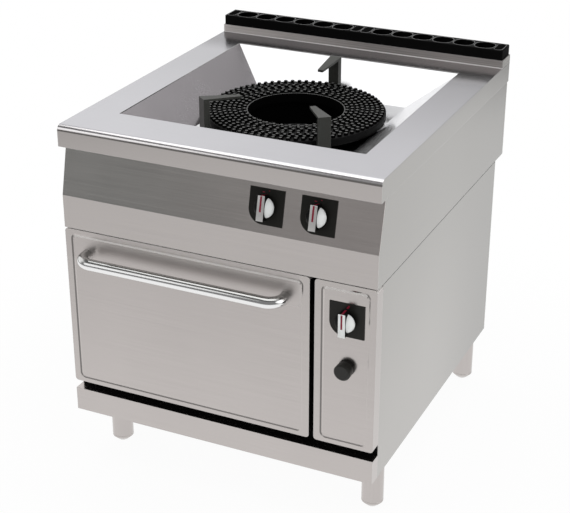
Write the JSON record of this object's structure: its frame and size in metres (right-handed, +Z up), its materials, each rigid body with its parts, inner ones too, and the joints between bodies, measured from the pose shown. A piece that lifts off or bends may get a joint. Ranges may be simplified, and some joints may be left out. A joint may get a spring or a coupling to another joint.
{
  "type": "gas paella range",
  "caption": "Free-standing stainless gas range with a studded ring burner sunk in a square hopper, pan supports, sloping control panel, drop-down oven door and rear flue.",
  "frame": {"origin": "on the floor, midway across the width and midway between the front of the door handle and the back of the module", "axes": "+X to the right of someone facing the controls, +Y towards the back, +Z up"},
  "size_m": [0.8, 0.958, 0.9465],
  "materials": {
    "top_steel": "satin stainless worktop",
    "hopper_steel": "bright stainless",
    "flue_iron": "black enamelled casting",
    "panel_steel": "satin stainless, darker for its lean",
    "body_steel": "satin stainless",
    "plain_steel": "plain steel",
    "dark_steel": "black painted frame",
    "oven_enamel": "dark vitreous enamel",
    "mineral_wool": "mineral wool",
    "shelf_chrome": "bright wire",
    "seal_rubber": "matte heat-proof seal",
    "tap_brass": "machined brass",
    "pipe_copper": "drawn copper tube",
    "burner_iron": "dark grey cast iron",
    "support_steel": "dull bent steel bar",
    "plate_black": "black control plate",
    "button_black": "black moulding",
    "leg_steel": "satin stainless tube",
    "handle_chrome": "polished tube",
    "knob_silver": "silver moulding with a red line"
  },
  "bodies": {
    "cabinet": {"worktop": "top_steel", "hopper": "hopper_steel", "rear_upstand": "top_steel", "flue_grille": "flue_iron", "control_panel": "panel_steel", "upper_side_left": "body_steel", "upper_side_right": "body_steel", "upper_back": "body_steel", "deck_plate": "plain_steel", "lower_side_left": "body_steel", "lower_side_right": "body_steel", "lower_back": "body_steel", "base_tray": "body_steel", "service_panel": "body_steel", "oven_frame": "dark_steel", "oven_liner": "oven_enamel", "oven_insulation": "mineral_wool", "oven_floor": "oven_enamel", "shelf_runners": "plain_steel", "oven_shelf": "shelf_chrome", "oven_burner": "plain_steel", "oven_flue_duct": "plain_steel", "door_gasket": "seal_rubber", "hinge_brackets": "plain_steel", "gas_manifold": "plain_steel", "gas_inlet": "tap_brass", "left_tap_body": "tap_brass", "right_tap_body": "tap_brass", "thermostat_body": "tap_brass", "gas_pipes": "pipe_copper", "gas_injectors": "tap_brass", "burner_body": "burner_iron", "burner_crown": "burner_iron", "burner_rails": "plain_steel", "pan_support_left": "support_steel", "pan_support_right": "support_steel", "pan_support_back": "support_steel", "burner_pilot": "tap_brass", "flame_probe": "pipe_copper", "left_tap_plate": "plate_black", "right_tap_plate": "plate_black", "thermostat_plate": "plate_black", "igniter_barrel": "button_black", "leg_sleeves": "leg_steel"},
    "oven_door": {"door_skin": "body_steel", "door_liner": "oven_enamel", "door_insulation": "mineral_wool", "door_handle": "handle_chrome", "door_hinge_lugs": "plain_steel"},
    "left_tap_rotor": {"left_tap_plug": "tap_brass"},
    "left_tap_push": {"left_tap_knob": "knob_silver"},
    "right_tap_rotor": {"right_tap_plug": "tap_brass"},
    "right_tap_push": {"right_tap_knob": "knob_silver"},
    "thermostat_rotor": {"thermostat_plug": "tap_brass"},
    "thermostat_push": {"thermostat_knob": "knob_silver"},
    "igniter_push": {"igniter_button": "button_black"},
    "foot_front_left_screw": {"foot_front_left": "leg_steel"},
    "foot_front_right_screw": {"foot_front_right": "leg_steel"},
    "foot_rear_left_screw": {"foot_rear_left": "leg_steel"},
    "foot_rear_right_screw": {"foot_rear_right": "leg_steel"}
  },
  "joints": [
    {"name": "oven_door_hinge", "type": "hinge", "parent": "cabinet", "child": "oven_door", "pos_m": [-0.08025, -0.407, 0.238], "axis": [1, 0, 0], "range_deg": [0, 90], "stiffness_Nm_per_rad": 9, "springref_deg": -22.92},
    {"name": "left_tap_turn", "type": "hinge", "parent": "cabinet", "child": "left_tap_rotor", "pos_m": [0.1255, -0.40672, 0.7869], "axis": [0, -0.9722, 0.2342], "range_deg": [0, 180]},
    {"name": "left_tap_press", "type": "slide", "parent": "left_tap_rotor", "child": "left_tap_push", "axis": [0, 0.9722, -0.2342], "range_m": [0, 0.005], "stiffness_N_per_m": 900, "springref_m": -0.004},
    {"name": "right_tap_turn", "type": "hinge", "parent": "cabinet", "child": "right_tap_rotor", "pos_m": [0.25, -0.40672, 0.7869], "axis": [0, -0.9722, 0.2342], "range_deg": [0, 180]},
    {"name": "right_tap_press", "type": "slide", "parent": "right_tap_rotor", "child": "right_tap_push", "axis": [0, 0.9722, -0.2342], "range_m": [0, 0.005], "stiffness_N_per_m": 900, "springref_m": -0.004},
    {"name": "thermostat_turn", "type": "hinge", "parent": "cabinet", "child": "thermostat_rotor", "pos_m": [0.3275, -0.421, 0.558], "axis": [0, -1, 0], "range_deg": [0, 270]},
    {"name": "thermostat_press", "type": "slide", "parent": "thermostat_rotor", "child": "thermostat_push", "axis": [0, 1, 0], "range_m": [0, 0.005], "stiffness_N_per_m": 900, "springref_m": -0.004},
    {"name": "igniter_press", "type": "slide", "parent": "cabinet", "child": "igniter_push", "axis": [0, 1, 0], "range_m": [0, 0.006], "stiffness_N_per_m": 900, "springref_m": -0.004},
    {"name": "foot_front_left_level", "type": "slide", "parent": "cabinet", "child": "foot_front_left_screw", "axis": [0, 0, -1], "range_m": [0, 0.03]},
    {"name": "foot_front_right_level", "type": "slide", "parent": "cabinet", "child": "foot_front_right_screw", "axis": [0, 0, -1], "range_m": [0, 0.03]},
    {"name": "foot_rear_left_level", "type": "slide", "parent": "cabinet", "child": "foot_rear_left_screw", "axis": [0, 0, -1], "range_m": [0, 0.03]},
    {"name": "foot_rear_right_level", "type": "slide", "parent": "cabinet", "child": "foot_rear_right_screw", "axis": [0, 0, -1], "range_m": [0, 0.03]}
  ]
}
